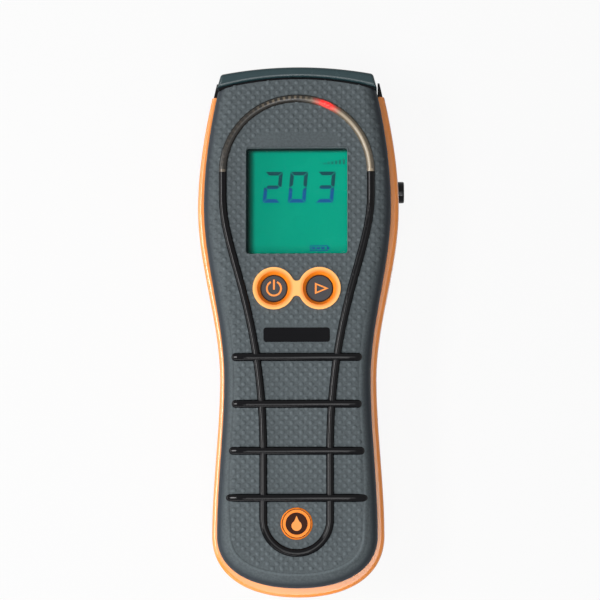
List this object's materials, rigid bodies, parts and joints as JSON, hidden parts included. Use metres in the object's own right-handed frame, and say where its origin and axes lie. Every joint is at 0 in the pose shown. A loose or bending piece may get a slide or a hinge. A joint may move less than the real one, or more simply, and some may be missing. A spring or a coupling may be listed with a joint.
{
  "type": "hay bale moisture meter",
  "caption": "Hand-held moisture meter for hay bales: waisted two-shell casing, backlit display under an arched LED bar, two keys, grip ribs and a side socket for the bale probe.",
  "frame": {"origin": "on the rest plane of the back, on the middle plane between the flanks, half way along the instrument", "axes": "the meter lies on its back: +Z out of the display, +Y towards the end cap, +X towards the flank with the probe socket"},
  "size_m": [0.0711, 0.18, 0.0377],
  "materials": {
    "cover_grey": "fine dimpled texture",
    "casing_orange": "satin",
    "cap_grey": "semi-gloss",
    "black_trim": "gloss",
    "seal_black": "matte",
    "smoked_lens": "gloss, smoked",
    "led_body": "clear red",
    "clear_window": "clear",
    "lcd_teal": "backlit display",
    "diffuser_white": "frosted",
    "keypad_orange": "semi-gloss",
    "key_grey": "satin",
    "cell_sleeve": "plain sleeve",
    "plated_steel": "nickel plated",
    "board_green": "solder mask",
    "chip_black": "moulded"
  },
  "bodies": {
    "instrument": {"front_cover": "cover_grey", "rear_casing": "casing_orange", "nose_block": "black_trim", "top_end_cap": "cap_grey", "end_seal": "seal_black", "keyhole_trim": "black_trim", "grip_ribs": "black_trim", "light_pipe": "smoked_lens", "bar_leds": "led_body", "display_window": "clear_window", "lcd_glass": "lcd_teal", "lcd_frame": "black_trim", "lcd_backlight": "diffuser_white", "lcd_connectors": "seal_black", "keypad_surround": "keypad_orange", "power_switch": "chip_black", "select_switch": "chip_black", "name_plate": "black_trim", "badge": "keypad_orange", "probe_socket": "black_trim", "socket_collar": "black_trim", "battery_cell_left": "cell_sleeve", "battery_cell_right": "cell_sleeve", "contact_springs": "plated_steel", "contact_plates": "plated_steel", "main_board": "board_green", "processor": "chip_black", "measuring_chip": "chip_black", "buzzer": "chip_black", "casing_screws": "plated_steel", "board_screws": "plated_steel"},
    "power_key": {"power_button": "key_grey", "power_plunger": "chip_black"},
    "select_key": {"select_button": "key_grey", "select_plunger": "chip_black"},
    "battery_door": {"battery_cover": "casing_orange"}
  },
  "joints": [
    {"name": "power_press", "type": "slide", "parent": "instrument", "child": "power_key", "axis": [0, 0, -1], "range_m": [0, 0.0007], "stiffness_N_per_m": 400},
    {"name": "select_press", "type": "slide", "parent": "instrument", "child": "select_key", "axis": [0, 0, -1], "range_m": [0, 0.0007], "stiffness_N_per_m": 400},
    {"name": "battery_door_slide", "type": "slide", "parent": "instrument", "child": "battery_door", "axis": [0, -1, 0], "range_m": [0, 0.105]}
  ]
}
